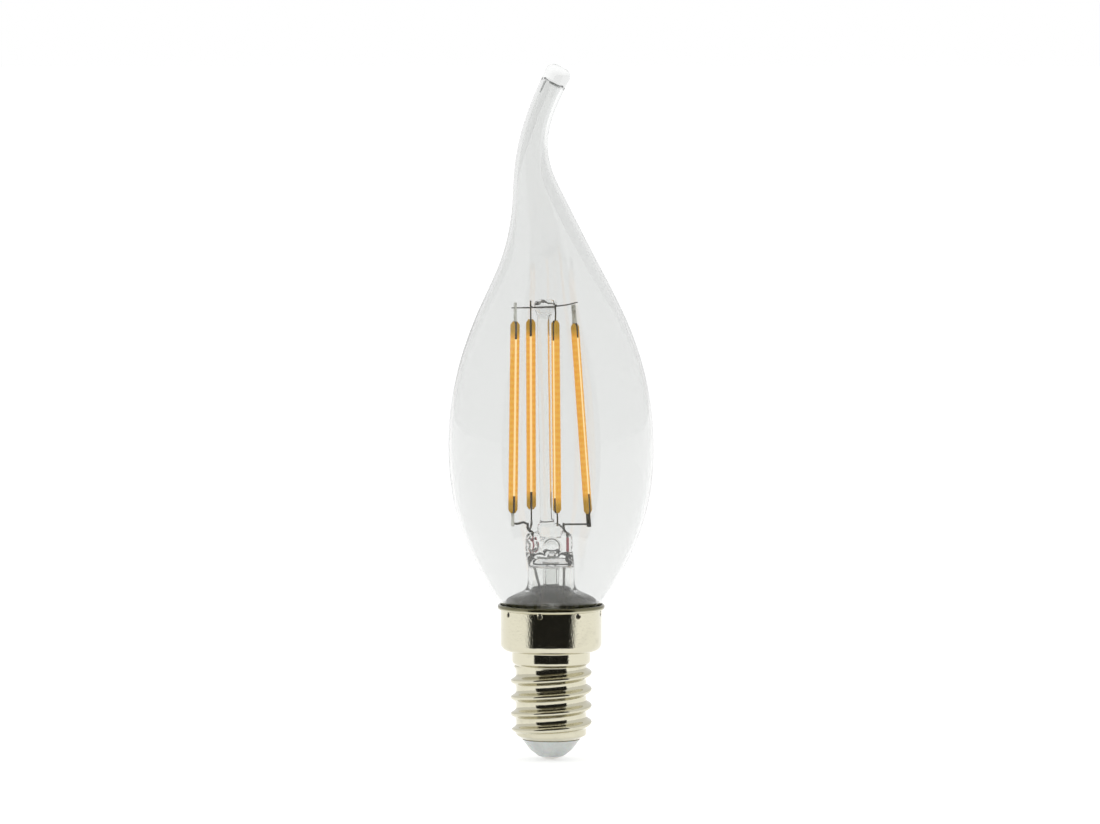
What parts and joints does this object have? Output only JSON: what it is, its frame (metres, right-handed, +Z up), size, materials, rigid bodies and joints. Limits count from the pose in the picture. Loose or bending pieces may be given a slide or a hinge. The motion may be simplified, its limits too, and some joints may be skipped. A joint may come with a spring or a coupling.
{
  "type": "filament candle bulb",
  "caption": "Clear blown-glass candle lamp with a curled tip, upright filaments on a glass rod and a rolled screw cap.",
  "frame": {"origin": "centre of the centre contact's flat underside, the lowest point of the lamp", "axes": "+Z up along the screw cap's axis towards the glass tip, +X towards the side where the tip curls over, -Y is the front"},
  "size_m": [0.035, 0.035, 0.1184],
  "materials": {
    "clear_glass": "clear blown soda-lime glass, glossy",
    "stem_glass": "clear pressed lead-free glass",
    "filament_coat": "amber phosphor silicone, satin",
    "filament_strip": "pale translucent ceramic strip",
    "tab_steel": "plated steel tab",
    "seal_copper": "copper-clad seal wire, red oxide",
    "nickel_wire": "drawn nickel wire",
    "cap_nickel": "nickel-plated rolled brass sheet, bright with a fine grain",
    "contact_nickel": "nickel-plated contact, bright",
    "insulator_white": "white moulded insulator, satin",
    "cement": "cured cement",
    "board_green": "coated circuit board",
    "chip_black": "moulded chip body",
    "capacitor_can": "sleeved can, satin",
    "resistor_body": "lacquered resistor",
    "tinned_copper": "tinned copper wire"
  },
  "bodies": {
    "root": {"back_branch_wire": "nickel_wire", "back_filament_foot_tab": "tab_steel", "back_filament_inner_coat": "filament_coat", "back_filament_outer_coat": "filament_coat", "back_filament_strip": "filament_strip", "back_filament_top_tab": "tab_steel", "bridge_rectifier": "chip_black", "cap_insulator": "insulator_white", "cap_shell": "cap_nickel", "cap_wire": "tinned_copper", "cement_ring": "cement", "centre_contact": "contact_nickel", "circuit_board": "board_green", "contact_wire": "tinned_copper", "current_regulator": "chip_black", "exhaust_tube": "stem_glass", "front_branch_wire": "nickel_wire", "front_filament_foot_tab": "tab_steel", "front_filament_inner_coat": "filament_coat", "front_filament_outer_coat": "filament_coat", "front_filament_strip": "filament_strip", "front_filament_top_tab": "tab_steel", "fuse_resistor": "resistor_body", "glass_envelope": "clear_glass", "glass_stem": "stem_glass", "left_branch_wire": "nickel_wire", "left_filament_foot_tab": "tab_steel", "left_filament_inner_coat": "filament_coat", "left_filament_outer_coat": "filament_coat", "left_filament_strip": "filament_strip", "left_filament_top_tab": "tab_steel", "left_inner_lead": "nickel_wire", "left_outer_lead": "nickel_wire", "left_seal_wire": "seal_copper", "long_top_wire": "nickel_wire", "right_branch_wire": "nickel_wire", "right_filament_foot_tab": "tab_steel", "right_filament_inner_coat": "filament_coat", "right_filament_outer_coat": "filament_coat", "right_filament_strip": "filament_strip", "right_filament_top_tab": "tab_steel", "right_inner_lead": "nickel_wire", "right_outer_lead": "nickel_wire", "right_seal_wire": "seal_copper", "short_top_wire": "nickel_wire", "smoothing_capacitor": "capacitor_can", "support_rod": "stem_glass"}
  },
  "joints": []
}
